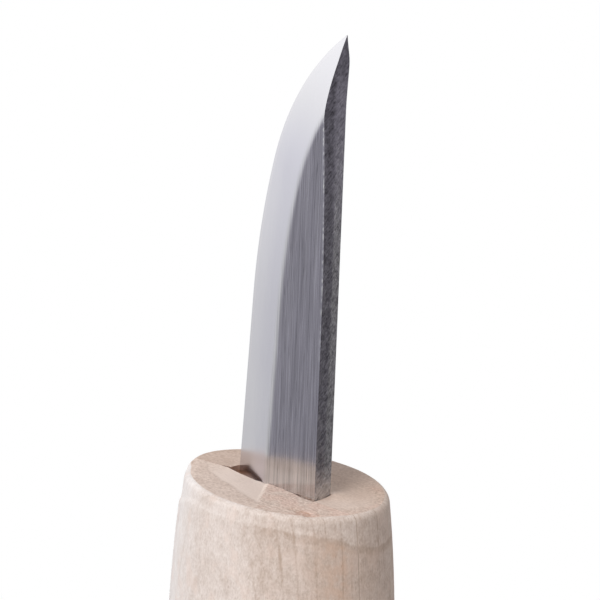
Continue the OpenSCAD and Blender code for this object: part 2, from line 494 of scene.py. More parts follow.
def tang_outline(gap):
    """x and z of the tang's outline, or of the channel that leaves a gap round it.

    It starts at the top right and goes on over the top left.
    """
    end_r = TANG_END_W / 2 + gap
    end_z = HANDLE_LEN - TANG_LEN + TANG_END_W / 2
    top_z = POCKET_Z if gap else HANDLE_LEN - HEEL_DEPTH
    half_w = TANG_W / 2 + gap
    turn = np.linspace(0, math.pi, 25)
    arc = [(TANG_X - end_r * math.cos(a), end_z - end_r * math.sin(a)) for a in turn]
    return [(TANG_X + half_w, top_z), (TANG_X - half_w, top_z)] + arc


CHANNEL = tang_outline(OUTLINE_GAP)


def add_tang(skin):
    """The tang, at the full thickness of the steel."""
    front = [(x, -HALF_T, z) for x, z in tang_outline(0.0)]
    back = [(x, HALF_T, z) for x, z in tang_outline(0.0)]
    skin.grid([front, back], 0, closed=True)
    skin.polygon(front, 0)
    skin.polygon(back[::-1], 0)


# Handle

def barrel_half_w(z):
    """Half width of the barrel at each height. It falls from the belly to both ends."""
    to_front = np.clip((z - BELLY_Z) / (HANDLE_LEN - BELLY_Z), 0, None)
    to_butt = np.clip((BELLY_Z - z) / BELLY_Z, 0, None)
    front_fall = (BELLY_W - FRONT_W) * to_front ** FRONT_FALL
    butt_fall = (BELLY_W - BUTT_W) * to_butt ** BUTT_FALL
    return (BELLY_W - np.where(z > BELLY_Z, front_fall, butt_fall)) / 2


FACE_W = FRONT_W / 2 - RIM_R
FACE_D = FRONT_W / 2 * DEPTH_SHARE - RIM_R


def joint_y(x, face_y):
    """y of the joint between the halves: flat beside the slot, and turning to the front left of it."""
    beyond = np.clip(SEAM_TURN_X - x, 0, None)
    wobble = 0.12 * noise_at(x, 0, 6, 0.9) * smoothstep(0.0, 0.6, beyond) * smoothstep(4.0, 3.0, beyond)
    return face_y - SEAM_SLANT * beyond ** SEAM_CURVE + wobble


def joint_angles(w, d, face_y):
    """Angles at which the joint meets a ring of half width w and half depth d: on the right, on the left."""
    left_y = np.full(np.shape(d), face_y)
    for _ in range(6):
        left_y = joint_y(-w * np.sqrt(1 - (left_y / d) ** 2), face_y)
    return np.arcsin(face_y / d), math.pi - np.arcsin(left_y / d)


def rim_radius(angle):
    """Radius of the front rim at each angle."""
    turn = np.degrees(angle) % 360
    return RIM_R + RIM_WEAR * np.maximum(smoothstep(*RIM_WORN_FROM, turn), smoothstep(*RIM_WORN_TO, turn))


def left_of_ridge(x, y):
    """Distance of points from the ridge that ends the pared facet, below 0 on its right."""
    (ax, ay), (bx, by) = PARED_RIDGE
    return ((x - ax) * (by - ay) - (y - ay) * (bx - ax)) / math.hypot(bx - ax, by - ay)


def pared(x, y):
    """How far points of the front end are in the pared facet, 0 to 1, and their y over its low line."""
    low_x, low_y = np.array(PARED_LOW_LINE).T
    above = y - np.interp(x, low_x, low_y) - 0.3 * noise_at(x, 0, 3, 0.6)
    inside = smoothstep(-0.15, 0.45, left_of_ridge(x, y)) * smoothstep(-0.3, 0.3, above)
    return inside * smoothstep(*PARED_FROM, x), np.clip(above, 0, None)


def roughness_of_end(x, y, is_front):
    """How torn the end grain is: most right of the pared facet, less round it, least behind the spine."""
    if is_front:
        return (1.0 - pared(x, y)[0]) * (0.5 + 0.5 * smoothstep(0.3, -0.3, left_of_ridge(x, y)))
    outside = smoothstep(*SMOOTH_TO, np.hypot(x - SMOOTH_AT[0], y - SMOOTH_AT[1]))
    return 0.1 + outside * (0.2 + 0.5 * smoothstep(4.0, 8.0, x))


def chip(x, y):
    """The shallow torn spot at the front rim."""
    torn = 0.6 * noise_at(x, y, 9, 1.3)
    away = np.hypot((x - CHIP_AT[0]) / CHIP_SIZE[0], (y - CHIP_AT[1]) / CHIP_SIZE[1])
    return smoothstep(1.0, 0.3, away + torn)


def hump(x, y):
    """The wood that is pushed up at the back corner of the spine."""
    return HUMP_H * np.exp(-((x - HUMP_AT[0]) ** 2 + (y - HUMP_AT[1]) ** 2) / HUMP_R ** 2)


def end_height(x, y, is_front):
    """Height of the front end over the plane of its rim."""
    share = np.hypot(x / FACE_W, y / FACE_D)
    back_rim = BACK_DROP * smoothstep(*BACK_DROP_OVER, y)
    dish = back_rim + (DISH - back_rim) * (1 - np.clip(share, 0, 1) ** 2)
    fall = FALL * smoothstep(*FALL_OVER, FALL_WAY[0] * x + FALL_WAY[1] * y)
    facet, above = pared(x, y)
    cut = is_front * PARED_DEPTH * facet * (0.25 + 0.75 * smoothstep(0.0, 4.0, above))
    torn = 0.6 * noise_at(x, y, 0, 1.3) + 0.5 * noise_at(x, y, 5, 3.0)
    rough = ROUGH_DEPTH * roughness_of_end(x, y, is_front) * torn
    return rough + hump(x, y) - dish - fall - cut - CHIP_DEPTH * chip(x, y)


def band_z(angle, is_front):
    """Height of the lower edge of the light band at each angle."""
    turn, depth = np.array(BAND_LINE).T
    x, y = FACE_W * np.cos(angle), FACE_D * np.sin(angle)
    below = np.interp((np.degrees(angle) + 180) % 360 - 180, turn, depth)
    return HANDLE_LEN + end_height(x, y, is_front) - (below + 0.12 * noise_at(x, y, 2, 0.4))


def half_rows(share, chord_y, is_front, inner):
    """Rows of a half's outside, from the butt up the barrel and over the rim to the inner points of its end.

    share: each column's place on the way round, 0 to 1.
    inner: a function of the rim's row that gives x and y where each column ends.
    Gives the rows and the number of the rim's row.
    """
    def angles(w, d):
        right, left = joint_angles(w, d, chord_y)
        first, last = (left, 2 * math.pi + right) if is_front else (right, left)
        return first + share * (last - first)

    def ring(z, inset):
        w = barrel_half_w(z) - inset
        d = barrel_half_w(z) * DEPTH_SHARE - inset
        t = angles(w, d)
        return np.stack([w * np.cos(t), d * np.sin(t), np.broadcast_to(z, t.shape)], 1)

    rows = []
    for a in np.radians(np.linspace(90, 0, RIM_ROWS)[:-1]):
        rows.append(ring(np.float64(BUTT_RIM_R * (1 - math.sin(a))), BUTT_RIM_R * (1 - math.cos(a))))
    around = angles(FACE_W, FACE_D)
    r = rim_radius(around)
    less_right = 1 - 0.6 * smoothstep(-0.7, 0.3, np.cos(around))
    cut = BAND_CUT * smoothstep(0.4, -0.6, np.sin(around)) * less_right
    rim = ring(np.float64(HANDLE_LEN), cut + r * (1 - math.cos(RIM_TURN)))
    rim_z = HANDLE_LEN + end_height(rim[:, 0], rim[:, 1], is_front)
    band_edge = band_z(around, is_front)
    far_share = np.linspace(0, BARREL_CLOSE_FROM, BARREL_ROWS)[:-1]
    close_share = np.linspace(BARREL_CLOSE_FROM, 1, BARREL_ROWS)
    for s in np.concatenate([far_share, close_share]):
        z = BUTT_RIM_R + s * (rim_z - r * math.sin(RIM_TURN) - BUTT_RIM_R)
        rows.append(ring(z, cut * smoothstep(0.0, BAND_STEP, z - band_edge)))
    for a in np.linspace(0, RIM_TURN, RIM_ROWS)[1:]:
        rows.append(ring(rim_z - r * (math.sin(RIM_TURN) - math.sin(a)), cut + r * (1 - math.cos(a))))
    rim_row = len(rows) - 1
    rim = rows[-1]
    inner_x, inner_y = inner(rim)
    for s in np.linspace(0, 1, END_ROWS)[1:]:
        x = rim[:, 0] + s * (inner_x - rim[:, 0])
        y = rim[:, 1] + s * (inner_y - rim[:, 1])
        rows.append(np.stack([x, y, HANDLE_LEN + end_height(x, y, is_front)], 1))
    return np.array(rows), rim_row


def mark_half(obj, is_front):
    """Stores what the wood's materials need to know about each point."""
    x, y, z = points_of(obj.data)
    store(obj.data, "over_band_edge", z - band_z(np.arctan2(y / DEPTH_SHARE, x), is_front))
    store(obj.data, "pared", is_front * pared(x, y)[0])
    store(obj.data, "rough", roughness_of_end(x, y, is_front))
    store(obj.data, "chip", chip(x, y))
    store(obj.data, "back_half", np.full(x.shape, 1.0 - is_front))


def lip_y(x):
    """The front half's lip beside the blade: shut, but for a hole at the bevel and a crack at the spine."""
    steel_y = bevel_y(x, np.full(x.shape, -DISH), -1) - LIP_GAP
    shut = smoothstep(*LIP_SHUT, x) * smoothstep(*LIP_FREE, x)
    crack = smoothstep(*CRACK_FROM, x) * smoothstep(*CRACK_TO, x)
    open_by = (CRACK_W + 0.1 * noise_at(x, 0, 0, 0.8)) * crack
    return joint_y(x, FRONT_FACE_Y) + (steel_y - FRONT_FACE_Y) * shut - open_by


def ledge_y(x):
    """The lip a little further down: the crack at the spine is shallow and ends on the steel."""
    steel_y = -HALF_T - LIP_GAP
    filled = smoothstep(*LEDGE_FROM, x) * smoothstep(*LEDGE_TO, x)
    return lip_y(x) + (steel_y - lip_y(x)) * filled


def build_front_half(materials):
    """The half before the blade, with the lip of the slot and the joint face under it."""
    share = np.linspace(0, 1, FRONT_COLUMNS)

    def lip_points(rim):
        x = rim[0, 0] + (rim[-1, 0] - rim[0, 0]) * (1 - np.cos(math.pi * share)) / 2
        return x, lip_y(x)

    rows, rim_row = half_rows(share, FRONT_FACE_Y, True, lip_points)
    skin = Skin()
    skin.grid(rows[:rim_row + 1], 0)
    skin.grid(rows[rim_row:], 1)
    lip = rows[-1]
    lip_x = lip[:, 0]
    ledge = lip.copy()
    ledge[:, 1] = ledge_y(lip_x)
    ledge[:, 2] -= LEDGE_DEPTH
    foot = lip.copy()
    foot[:, 1] = joint_y(lip_x, FRONT_FACE_Y)
    foot[:, 2] = HANDLE_LEN - HEEL_DEPTH
    beside_slot = (lip_x[1:] > MOUTH_LEFT_X) & (lip_x[1:] < MOUTH_RIGHT_X)
    skin.grid([lip, ledge, foot], np.where(beside_slot, 2, 1).tolist())
    skin.polygon(np.concatenate([rows[:-1, 0], ledge[:1], foot, ledge[-1:], rows[-2::-1, -1]]), 1)
    skin.polygon(rows[0], 1)
    half = skin.make("handle_front_wood", materials, WOOD_SHARP)
    mark_half(half, True)
    return half


def build_back_half(materials):
    """The half behind the blade. Its columns end on the joint, or on the mouth of the slot."""
    first, last = joint_angles(FACE_W, FACE_D, BACK_FACE_Y)

    def share_at(x):
        return (math.acos(x / FACE_W) - first) / (last - first)

    right = share_at(MOUTH_RIGHT_X + MOUTH_FAN), share_at(MOUTH_RIGHT_X)
    left = share_at(MOUTH_LEFT_X), share_at(MOUTH_LEFT_X - MOUTH_FAN)
    mouth_y = np.linspace(BACK_FACE_Y, SLOT_FLOOR_Y, MOUTH_SIDE_COLUMNS)
    mouth_x = np.linspace(MOUTH_RIGHT_X, MOUTH_LEFT_X, MOUTH_COLUMNS)

    def right_joint(rim):
        return np.linspace(rim[0, 0], MOUTH_RIGHT_X, JOINT_COLUMNS), BACK_FACE_Y

    def left_joint(rim):
        x = np.linspace(MOUTH_LEFT_X, rim[-1, 0], JOINT_COLUMNS)
        return x, joint_y(x, BACK_FACE_Y)

    parts = [
        (np.linspace(0, right[0], JOINT_COLUMNS), right_joint),
        (np.linspace(*right, MOUTH_SIDE_COLUMNS), lambda rim: (MOUTH_RIGHT_X, mouth_y)),
        (np.linspace(right[1], left[0], MOUTH_COLUMNS), lambda rim: (mouth_x, SLOT_FLOOR_Y)),
        (np.linspace(*left, MOUTH_SIDE_COLUMNS), lambda rim: (MOUTH_LEFT_X, mouth_y[::-1])),
        (np.linspace(left[1], 1, JOINT_COLUMNS), left_joint),
    ]
    skin = Skin()
    grids = []
    for share, inner in parts:
        rows, rim_row = half_rows(share, BACK_FACE_Y, False, inner)
        skin.grid(rows[:rim_row + 1], 0)
        skin.grid(rows[rim_row:], 1)
        grids.append(rows)
    skin.polygon(np.concatenate([rows[0] for rows in grids]), 1)
    add_slot(skin, mouth_x, mouth_y)
    add_joint_face(skin, grids[0], grids[-1])
    half = skin.make("handle_back_wood", materials, WOOD_SHARP)
    mark_half(half, False)
    return half


def add_slot(skin, mouth_x, mouth_y):
    """The walls of the slot, down to the bottom of the heel's pocket, and the tang's channel below."""
    channel_right, channel_left = CHANNEL[0][0], CHANNEL[1][0]

    def wall(x, y, waist_x, foot):
        """A wall that leans from the mouth to a waist, and is upright from there to its foot's corners."""
        x, y, waist_x = np.broadcast_arrays(x, y, waist_x)
        top = np.stack([x, y, HANDLE_LEN + end_height(x, y, False)], 1)
        waist = np.stack([waist_x, y, np.full(len(x), HANDLE_LEN - MOUTH_DEPTH)], 1)
        skin.grid([top, waist], 2)
        skin.polygon(np.concatenate([waist, [(*corner, POCKET_Z) for corner in foot]]), 2)

    for x, pocket_x in ((MOUTH_LEFT_X, POCKET_LEFT_X), (MOUTH_RIGHT_X, POCKET_RIGHT_X)):
        wall(x, mouth_y, pocket_x, [(pocket_x, SLOT_FLOOR_Y), (pocket_x, BACK_FACE_Y)])
    stretch = (MOUTH_RIGHT_X - mouth_x) / (MOUTH_RIGHT_X - MOUTH_LEFT_X)
    foot_x = (POCKET_LEFT_X, channel_left, channel_right, POCKET_RIGHT_X)
    waist_x = POCKET_RIGHT_X - stretch * (POCKET_RIGHT_X - POCKET_LEFT_X)
    wall(mouth_x, SLOT_FLOOR_Y, waist_x, [(x, SLOT_FLOOR_Y) for x in foot_x])
    around = CHANNEL[1:] + CHANNEL[:1]
    open_side = [(x, BACK_FACE_Y, z) for x, z in around]
    floor_side = [(x, SLOT_FLOOR_Y, z) for x, z in around]
    skin.grid([open_side, floor_side], 2)
    skin.polygon(floor_side, 2)
    for x0, x1 in ((POCKET_LEFT_X, channel_left), (channel_right, POCKET_RIGHT_X)):
        corners = ((x0, BACK_FACE_Y), (x1, BACK_FACE_Y), (x1, SLOT_FLOOR_Y), (x0, SLOT_FLOOR_Y))
        skin.polygon([(*corner, POCKET_Z) for corner in corners], 2)


def add_joint_face(skin, right_rows, left_rows):
    """The flat face that is glued to the front half, with the slot cut into it."""
    slot = [(POCKET_LEFT_X, HANDLE_LEN - MOUTH_DEPTH), (POCKET_LEFT_X, POCKET_Z)]
    slot += CHANNEL[1:] + CHANNEL[:1]
    slot += [(POCKET_RIGHT_X, POCKET_Z), (POCKET_RIGHT_X, HANDLE_LEN - MOUTH_DEPTH)]
    skin.polygon(np.concatenate([
        left_rows[:, -1],
        left_rows[-1, -2::-1],
        [(x, BACK_FACE_Y, z) for x, z in slot],
        right_rows[-1, ::-1],
        right_rows[-2::-1, 0],
    ]), 1)


def build_seam(material):
    """The glue film: a ribbon each side, from the butt up the barrel and over the front end to the slot."""
    skin = Skin()
    middle_y = (FRONT_FACE_Y + BACK_FACE_Y) / 2
    for share, mouth_x, sunk in ((0.0, MOUTH_RIGHT_X, SEAM_SUNK), (1.0, MOUTH_LEFT_X, OPEN_SEAM_SUNK)):
        rows, rim_row = half_rows(np.array([share]), middle_y, False, lambda rim: (mouth_x, middle_y))
        path = rows[1:, 0]
        inside = np.arange(len(path)) > rim_row - 1
        path[inside, 1] = joint_y(path[inside, 0], middle_y)
        path[inside, 2] = HANDLE_LEN + end_height(path[inside, 0], path[inside, 1], False)
        path[:, 0] -= np.sign(mouth_x) * SEAM_SUNK
        path[:, 2] -= np.where(inside, sunk, 0.0)
        core = path.copy()
        core[:, 0] = mouth_x
        core[:, 2] = np.clip(path[:, 2], SEAM_MARGIN, HANDLE_LEN - SEAM_MARGIN)
        inner = path + SEAM_INSET * (core - path)
        front, back = ((0, y - middle_y, 0) for y in (FRONT_FACE_Y, BACK_FACE_Y))
        ribbon = np.stack([path + front, path + back, inner + back, inner + front], 1)
        skin.grid(ribbon, 0, closed=True)
        skin.polygon(ribbon[0], 0)
        skin.polygon(ribbon[-1], 0)
    return skin.make("seam_glue_line", [material], WOOD_SHARP)


# Materials

class Graph:
    """Wires shader nodes: a value given as a socket is linked, any other is set on the input."""

    def __init__(self, tree):
        self.tree = tree

    def feed(self, socket, value):
        if isinstance(value, bpy.types.NodeSocket):
            self.tree.links.new(value, socket)
        elif socket.type == "RGBA":
            socket.default_value = (*value, 1.0)
        else:
            socket.default_value = value

    def put(self, kind, inputs, **settings):
        """A new node of a kind, with its inputs fed and its settings made."""
        node = self.tree.nodes.new("ShaderNode" + kind)
        for name, value in settings.items():
            setattr(node, name, value)
        for key, value in inputs.items():
            self.feed(node.inputs[key], value)
        return node

    def millimetres(self):
        """The point's place on the object in millimetres."""
        return self.scaled(self.put("TexCoord", {}).outputs["Object"], (1 / MM, 1 / MM, 1 / MM))

    def scaled(self, vector, scale):
        return self.put("Mapping", {"Vector": vector, "Scale": scale}).outputs["Vector"]

    def turned(self, vector, angles):
        return self.put("Mapping", {"Vector": vector, "Rotation": angles}).outputs["Vector"]

    def noise(self, vector, scale, detail=2.0):
        """Noise with its periods per millimetre along x, y and z, less its mean."""
        place = self.scaled(vector, scale)
        value = self.put("TexNoise", {"Vector": place, "Scale": 1.0, "Detail": detail}).outputs["Fac"]
        return self.math("SUBTRACT", value, 0.5)

    def span(self, value, low, high, to_low=0.0, to_high=1.0):
        """Goes smoothly from to_low to to_high while the value goes from low to high."""
        inputs = {"Value": value, "From Min": low, "From Max": high, "To Min": to_low, "To Max": to_high}
        return self.put("MapRange", inputs, interpolation_type="SMOOTHSTEP").outputs["Result"]

    def math(self, operation, *values):
        return self.put("Math", dict(enumerate(values)), operation=operation).outputs["Value"]

    def add(self, *terms):
        """Sum of terms; a term is a socket, a number, or a socket with its factor."""
        total = 0.0
        for term in terms:
            value, factor = term if isinstance(term, tuple) else (term, 1.0)
            total = self.math("MULTIPLY_ADD", value, factor, total)
        return total

    def product(self, *factors):
        total = factors[0]
        for factor in factors[1:]:
            total = self.math("MULTIPLY", total, factor)
        return total

    def mix(self, factor, a, b):
        """A colour between the colours a and b."""
        return self.put("Mix", {0: factor, 6: a, 7: b}, data_type="RGBA").outputs[2]

    def between(self, factor, a, b):
        """A number between the numbers a and b."""
        return self.put("Mix", {0: factor, 2: a, 3: b}, data_type="FLOAT").outputs[0]

    def vector_math(self, operation, *vectors):
        return self.put("VectorMath", dict(enumerate(vectors)), operation=operation).outputs["Value"]

    def axes(self, vector):
        return self.put("SeparateXYZ", {"Vector": vector}).outputs

    def attribute(self, name):
        return self.put("Attribute", {}, attribute_name=name).outputs["Fac"]

    def bump(self, height, depth):
        """Normals of a surface whose height varies by the given depth in millimetres."""
        return self.put("Bump", {"Height": height, "Strength": 1.0, "Distance": depth * MM}).outputs["Normal"]


def new_material(name):
    """A material, the graph of its nodes and its shader."""
    material = bpy.data.materials.new(name)
    material.use_nodes = True
    return material, Graph(material.node_tree), material.node_tree.nodes["Principled BSDF"]


def finish_shader(graph, shader, inputs):
    for name, value in inputs.items():
        graph.feed(shader.inputs[name], value)


def growth_lines(graph, place):
    """Thin dark lines of the wood's layers: a late line in each, and a fainter one between."""
    y = graph.axes(place)["Y"]
    wave = graph.noise(place, (0.05, 0.08, 0.03), 1.0)
    layers = graph.math("DIVIDE", graph.add(y, LAYERS_BEFORE * LAYER_T - LATE_LINE_Y, (wave, 0.7)), LAYER_T)
    layer = graph.math("FRACT", layers)

    def line(at, width):
        return graph.span(graph.math("ABSOLUTE", graph.add(layer, -at)), 0.0, width, 1.0, 0.0)

    lines = graph.add((line(0.5, 0.055), 0.85), (line(0.9, 0.05), 0.55))
    broken = graph.span(graph.noise(place, (0.5, 0.5, 0.16)), -0.12, 0.16, 0.2, 1.0)
    faint = graph.span(y, -11.6, -8.9, 0.4, 1.0)
    return graph.product(lines, broken, faint)


def wood_side():
    """The barrel: painted paler and greyer towards the left as painted light and sheen, with a reddish heart
    on the right, painted light on the band under the rim and painted shade under its lower edge.
    """
    material, graph, shader = new_material("wood_side")
    place = graph.millimetres()
    fibres = graph.noise(place, (2.6, 2.6, 0.22), 3.0)
    speckle = graph.noise(place, (4.6, 4.6, 2.8), 2.0)
    blotches = graph.noise(place, (1.0, 1.0, 0.8), 2.0)
    clouds = graph.noise(place, (0.22, 0.22, 0.09), 2.0)
    pores = graph.span(graph.noise(place, (6.5, 6.5, 1.3), 1.0), 0.17, 0.26)
    lines = growth_lines(graph, place)
    x, y, _ = graph.axes(place)
    level = graph.add(graph.attribute("over_band_edge"), (graph.noise(place, (0.3, 0.3, 0.3)), 0.5))
    heart = graph.product(
        graph.span(y, -8.2, -3.2), graph.span(y, -3.6, -1.4, 1.0, 0.2), graph.span(y, 0.6, 2.2, 1.0, 0.0),
        graph.span(level, -1.0, 0.0, 1.0, 0.0), graph.span(x, -2.0, 7.0),
    )
    # Painted light: the barrel is painted paler from right to left, most at its left edge, as painted light
    # and sheen from the left.
    pale = graph.add(graph.span(x, 1.5, 9.0, 0.3, 0.0), graph.span(x, -10.5, -1.0, 0.65, 0.0))
    # Painted light and shade: the band under the rim is painted lighter as it leans towards the lamps, and a
    # line under its lower edge is painted darker as shade in the crease there, most on the right.
    band = graph.span(level, -0.2, 0.2)
    crease_shade_under_band = graph.product(
        graph.span(level, -1.4, -0.4), graph.span(level, -0.3, 0.1, 1.0, 0.0),
        graph.span(x, 4.0, 9.0, 0.1, 1.0),
    )
    blush = graph.span(graph.noise(place, (0.5, 0.5, 0.35)), 0.0, 0.18, 0.0, 0.3)
    tone = graph.add(
        0.55, (fibres, 0.5), (speckle, 1.2), (blotches, 0.8), (clouds, 0.7), (pores, -0.35), (lines, -0.72),
        (band, 0.08), (crease_shade_under_band, -0.34),
    )
    colour = graph.mix(tone, (0.52, 0.395, 0.317), (0.81, 0.703, 0.635))
    # The painted light and sheen on the left: a paler, greyer copy of the wood's colours.
    colour = graph.mix(pale, colour, graph.mix(tone, (0.74, 0.665, 0.615), (0.90, 0.845, 0.812)))
    colour = graph.mix(blush, colour, (0.80, 0.635, 0.545))
    patchy = graph.product(heart, graph.span(blotches, -0.16, 0.16, 0.12, 0.52))
    colour = graph.mix(patchy, colour, (0.62, 0.385, 0.25))
    relief = graph.add((fibres, 0.5), (speckle, 0.8), (pores, -0.5))
    finish_shader(graph, shader, {
        "Base Color": colour,
        "Roughness": graph.span(speckle, -0.2, 0.2, 0.62, 0.78),
        "Normal": graph.bump(relief, 0.035),
        "Specular IOR Level": 0.35,
    })
    return material


def wood_end():
    """End grain: speckled where it is torn, smooth on the pared facet and lighter there, its smooth wood and
    painted light as it faces the lamps, reddish in the chip. Behind the spine painted light lifts the blade's
    shadow.
    """
    material, graph, shader = new_material("wood_end")
    place = graph.millimetres()
    rough = graph.attribute("rough")
    facet = graph.attribute("pared")
    chip_mark = graph.attribute("chip")
    grains = graph.noise(place, (2.9, 2.9, 2.9), 3.0)
    clouds = graph.noise(place, (0.35, 0.35, 0.35), 2.0)
    rays = graph.noise(place, (0.9, 4.5, 0.9), 2.0)
    pores = graph.span(graph.noise(place, (7.0, 7.0, 2.0), 1.0), 0.15, 0.25)
    lines = growth_lines(graph, place)
    torn_pores = graph.product(pores, rough)
    speckle = graph.product(grains, graph.add(0.6, (rough, 1.7)))
    x = graph.axes(place)["X"]
    back_half = graph.attribute("back_half")
    right = graph.span(x, 4.0, 11.0)
    # Across the back half the wood is darker on the left and lighter on the right; on the right, behind the
    # spine, this is painted light that lifts the blade's shadow.
    back_tone_and_shadow_fill = graph.product(back_half, graph.span(x, -6.0, 8.0, -0.14, 0.22))
    smooth_patch = graph.span(graph.vector_math("DISTANCE", place, SMOOTH_PATCH_AT), 0.8, 3.4, 1.0, 0.0)
    # Painted light: the pared facet is painted lighter, partly as the light that falls on it.
    tone = graph.add(
        0.66, speckle, (back_half, -0.26), back_tone_and_shadow_fill, (right, -0.08), (clouds, 0.5), (rays, 0.25),
        (lines, -0.14), (facet, 0.36), (smooth_patch, -0.12), (rough, 0.05), (torn_pores, -0.35),
        (chip_mark, -0.2),
    )
    colour = graph.mix(tone, (0.48, 0.345, 0.27), (0.83, 0.68, 0.585))
    red = graph.product(chip_mark, graph.span(grains, -0.15, 0.15, 0.65, 0.15))
    colour = graph.mix(red, colour, (0.47, 0.27, 0.18))
    torn_red = graph.product(graph.span(rough, 0.55, 0.95), graph.span(clouds, -0.12, 0.12, 0.02, 0.3))
    colour = graph.mix(torn_red, colour, (0.68, 0.41, 0.32))
    relief = graph.add(speckle, (torn_pores, -0.5), (rays, 0.2))
    finish_shader(graph, shader, {
        "Base Color": colour,
        "Roughness": graph.span(rough, 0.0, 1.0, 0.6, 0.85),
        "Normal": graph.bump(relief, 0.06),
        "Specular IOR Level": 0.3,
    })
    return material


def wood_stained():
    """The walls of the slot, soaked dark by the epoxy."""
    material, graph, shader = new_material("wood_stained")
    place = graph.millimetres()
    soaked = graph.noise(place, (1.2, 1.2, 0.7), 3.0)
    fibres = graph.noise(place, (3.0, 3.0, 0.4), 2.0)
    tone = graph.add(0.5, (soaked, 1.4), (fibres, 0.7))
    finish_shader(graph, shader, {
        "Base Color": graph.mix(tone, (0.54, 0.32, 0.23), (0.98, 0.76, 0.62)),
        "Roughness": graph.span(soaked, -0.2, 0.2, 0.55, 0.8),
        "Normal": graph.bump(fibres, 0.05),
        "Specular IOR Level": 0.2,
    })
    return material


def steel_side():
    """Satin bevels with painted reflection, and flats that are brushed lengthwise."""
    material, graph, shader = new_material("steel_side")
    place = graph.millimetres()
    edge_mm = graph.attribute("edge_mm")
    ground = graph.span(edge_mm, 5.2, 6.4, 1.0, 0.0)
    flat = graph.math("SUBTRACT", 1.0, ground)
    streaks = graph.noise(place, (7.0, 1.0, 0.11), 3.0)
    wide_streaks = graph.noise(place, (1.5, 1.0, 0.05), 2.0)
    scratches = graph.span(graph.noise(place, (9.0, 1.0, 0.22), 1.0), 0.12, 0.26)
    dashes = graph.span(graph.noise(place, (4.5, 1.0, 0.3), 1.0), 0.1, 0.24)
    satin = graph.noise(place, (7.0, 1.0, 0.35), 2.0)
    brushed = graph.add(0.52, (streaks, 1.6), (wide_streaks, 0.5), (scratches, 0.3), (dashes, -0.28))
    flat_colour = graph.mix(brushed, (0.395, 0.396, 0.405), (0.835, 0.837, 0.853))
    honed = graph.span(edge_mm, 0.1, 0.8, 0.4, 0.0)
    # Painted reflection: the bevel is painted lighter at the edge and darker towards the shoulder, and, by
    # height, lighter near the handle, darker in the middle and a little lighter near the tip.
    reflection_across = graph.span(edge_mm, 0.0, 5.6, 0.42, -0.5)
    height = graph.add(graph.axes(place)["Z"], -HANDLE_LEN)
    along = graph.add(
        graph.span(height, 8.0, 16.0, 0.4, 0.0),
        graph.span(height, 30.0, 43.0, 0.0, -0.45),
        graph.span(height, 50.0, 53.5, 0.0, 0.15),
    )
    bevel_tone = graph.add(0.42, (satin, 0.75), honed, reflection_across, along)
    bevel_colour = graph.mix(bevel_tone, (0.65, 0.645, 0.712), (0.75, 0.745, 0.785))
    near_tip = graph.span(height, 39.0, 48.0, 0.0, 0.7)
    bevel_colour = graph.mix(near_tip, bevel_colour, (0.68, 0.676, 0.69))
    relief = graph.add(graph.product(streaks, flat), (satin, 0.25))
    finish_shader(graph, shader, {
        "Base Color": graph.mix(ground, flat_colour, bevel_colour),
        "Metallic": 1.0,
        "Roughness": graph.add(0.22, (flat, -0.03), (graph.product(wide_streaks, flat), 0.1)),
        "Normal": graph.bump(relief, 0.004),
    })
    return material


def steel_spine():
    """The spine as it was sawn: dark, mottled and scored slantwise, and lighter where it is rubbed, behind
    its crown partly painted reflection.
    """
    material, graph, shader = new_material("steel_spine")
    place = graph.millimetres()
    mottle = graph.noise(place, (2.2, 2.2, 1.6), 3.0)
    slanted = graph.turned(place, (SCORE_SLANT, 0.0, 0.0))
    scores = graph.noise(slanted, (0.6, 6.0, 1.3), 2.0)
    pits = graph.span(graph.noise(slanted, (4.0, 6.0, 2.0), 1.0), 0.1, 0.25)
    grit = graph.noise(place, (5.0, 5.0, 4.0), 2.0)
    _, y, z = graph.axes(place)
    height = graph.add(z, -HANDLE_LEN)
    rubbed = graph.span(height, 24.0, 44.0)
    # Wear and painted reflection: where the spine is rubbed, the half behind its crown is painted lighter,
    # for wear and for the lighter reflection of that side of the crown.
    back_wear_and_reflection = graph.product(rubbed, graph.span(y, -0.35, 0.15))
    at_wood = graph.span(height, 0.5, 4.5, 1.0, 0.0)
    at_tip = graph.span(height, 48.5, 51.5)
    tone = graph.add(
        0.24, (rubbed, 0.1), (back_wear_and_reflection, 0.4), (at_tip, -0.3), (at_wood, 0.33), (mottle, 0.9),
        (scores, 1.1), (grit, 0.7), (pits, -0.2),
    )
    finish_shader(graph, shader, {
        "Base Color": graph.mix(tone, (0.20, 0.196, 0.193), (0.80, 0.788, 0.775)),
        "Metallic": 1.0,
        "Roughness": graph.span(mottle, -0.2, 0.2, 0.36, 0.5),
        "Normal": graph.bump(graph.add(mottle, (scores, 0.8), (pits, -0.6)), 0.05),
    })
    return material


def glue_and_gap_shade():
    """Dark with painted shade where the joint opens beside the slot's mouth, elsewhere hardly darker than the
    wood.
    """
    material, graph, shader = new_material("glue_and_gap_shade")
    place = graph.millimetres()
    x, _, z = graph.axes(place)
    patches = graph.noise(place, (0.9, 0.9, 0.25), 3.0)
    # Painted shade: the glue is painted dark where the joint opens left of the slot, as shade in the open
    # gap.
    open_joint_shade = graph.product(
        graph.span(graph.add(x, (patches, 2.0)), -13.0, -8.0, 0.25, 1.0),
        graph.span(x, -4.0, 0.0, 1.0, 0.0),
        graph.span(z, HANDLE_LEN - 2.0, HANDLE_LEN - 1.0),
    )
    pale = graph.mix(graph.add(0.5, (patches, 1.4)), (0.42, 0.315, 0.24), (0.66, 0.54, 0.46))
    finish_shader(graph, shader, {
        "Base Color": graph.mix(open_joint_shade, pale, (0.12, 0.065, 0.04)),
        "Roughness": graph.span(patches, -0.2, 0.2, 0.55, 0.75),
        "Specular IOR Level": 0.3,
    })
    return material


